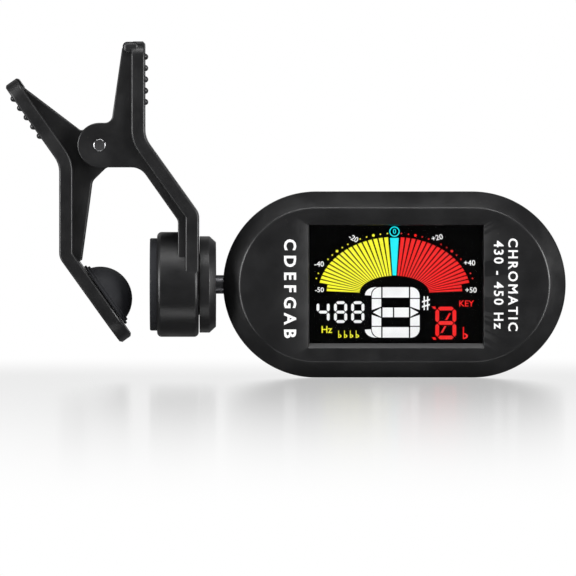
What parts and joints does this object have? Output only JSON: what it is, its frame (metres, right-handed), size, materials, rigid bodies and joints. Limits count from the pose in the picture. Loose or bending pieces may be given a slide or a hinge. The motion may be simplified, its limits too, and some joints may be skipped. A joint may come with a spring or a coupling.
{
  "type": "clip on tuner",
  "caption": "Clip-on instrument tuner: a stadium-shaped display head on a ball joint, held by a sprung two-lever clip with rubber pads.",
  "frame": {"origin": "centre of the drum pad's flat clamping face", "axes": "+X runs along the drum's axis to the display head, the display faces -Y, +Z points to the thumb grips"},
  "size_m": [0.0978, 0.0184, 0.0588],
  "materials": {
    "lever_plastic": "fine satin moulding",
    "case_plastic": "fine satin moulding",
    "pad_rubber": "matt",
    "button_rubber": "matt",
    "steel": "bright",
    "stem_metal": "satin grey",
    "brass": "bright",
    "ceramic": "fired",
    "lead_insulation": "satin",
    "nylon": "natural",
    "clear_window": "gloss",
    "display": "lit segments on black",
    "white_plastic": "satin",
    "connector_rubber": "matt",
    "circuit_board": "solder mask",
    "chip_plastic": "moulded"
  },
  "bodies": {
    "clip_arm": {"drum_arm": "lever_plastic", "drum_pad": "pad_rubber", "pivot_pin": "steel", "torsion_spring": "steel", "piezo_disc": "brass", "piezo_ceramic": "ceramic", "piezo_lead_drum": "lead_insulation", "seat_spring": "steel", "ball_retainer": "lever_plastic"},
    "jaw": {"jaw_lever": "lever_plastic", "jaw_pad": "pad_rubber"},
    "ball_cup": {"ball_seat": "nylon"},
    "ball_sleeve": {"ball_liner": "nylon"},
    "display_head": {"ball_stud": "stem_metal", "piezo_lead_head": "lead_insulation", "front_case": "case_plastic", "rear_case": "case_plastic", "window_lens": "clear_window", "lcd_panel": "display", "backlight": "white_plastic", "lcd_frame": "white_plastic", "lcd_connector": "connector_rubber", "circuit_board": "circuit_board", "main_chip": "chip_plastic", "crystal": "steel", "contact_plus": "steel", "contact_minus": "steel", "coin_cell": "steel", "power_switch": "chip_plastic", "mode_switch": "chip_plastic", "pitch_switch": "chip_plastic", "case_screw_1": "steel", "case_screw_2": "steel", "case_screw_3": "steel", "case_screw_4": "steel"},
    "battery_cover": {"battery_door": "case_plastic"},
    "power_key": {"power_button": "button_rubber", "power_plunger": "white_plastic"},
    "mode_key": {"mode_button": "button_rubber", "mode_plunger": "white_plastic"},
    "pitch_key": {"pitch_button": "button_rubber", "pitch_plunger": "white_plastic"}
  },
  "joints": [
    {"name": "clip_pivot", "type": "hinge", "parent": "clip_arm", "child": "jaw", "pos_m": [-0.00873, 0, 0.02438], "axis": [0, 1, 0], "range_deg": [0, 28], "stiffness_Nm_per_rad": 0.15, "springref_deg": -51.57, "deforming": ["torsion_spring"]},
    {"name": "ball_spin", "type": "hinge", "parent": "clip_arm", "child": "ball_cup", "pos_m": [0.0077, 0, 0], "axis": [1, 0, 0], "range_deg": [-180, 180]},
    {"name": "ball_tilt", "type": "hinge", "parent": "ball_cup", "child": "ball_sleeve", "pos_m": [0.0077, 0, 0], "axis": [0, 0, 1], "range_deg": [-12, 12]},
    {"name": "ball_nod", "type": "hinge", "parent": "ball_sleeve", "child": "display_head", "pos_m": [0.0077, 0, 0], "axis": [0, 1, 0], "range_deg": [-12, 12]},
    {"name": "battery_slide", "type": "slide", "parent": "display_head", "child": "battery_cover", "axis": [1, 0, 0], "range_m": [0, 0.024]},
    {"name": "power_press", "type": "slide", "parent": "display_head", "child": "power_key", "axis": [0, -1, 0], "range_m": [0, 0.0004], "stiffness_N_per_m": 1500, "springref_m": -0.0002},
    {"name": "mode_press", "type": "slide", "parent": "display_head", "child": "mode_key", "axis": [0, -1, 0], "range_m": [0, 0.0004], "stiffness_N_per_m": 1500, "springref_m": -0.0002},
    {"name": "pitch_press", "type": "slide", "parent": "display_head", "child": "pitch_key", "axis": [0, -1, 0], "range_m": [0, 0.0004], "stiffness_N_per_m": 1500, "springref_m": -0.0002}
  ]
}
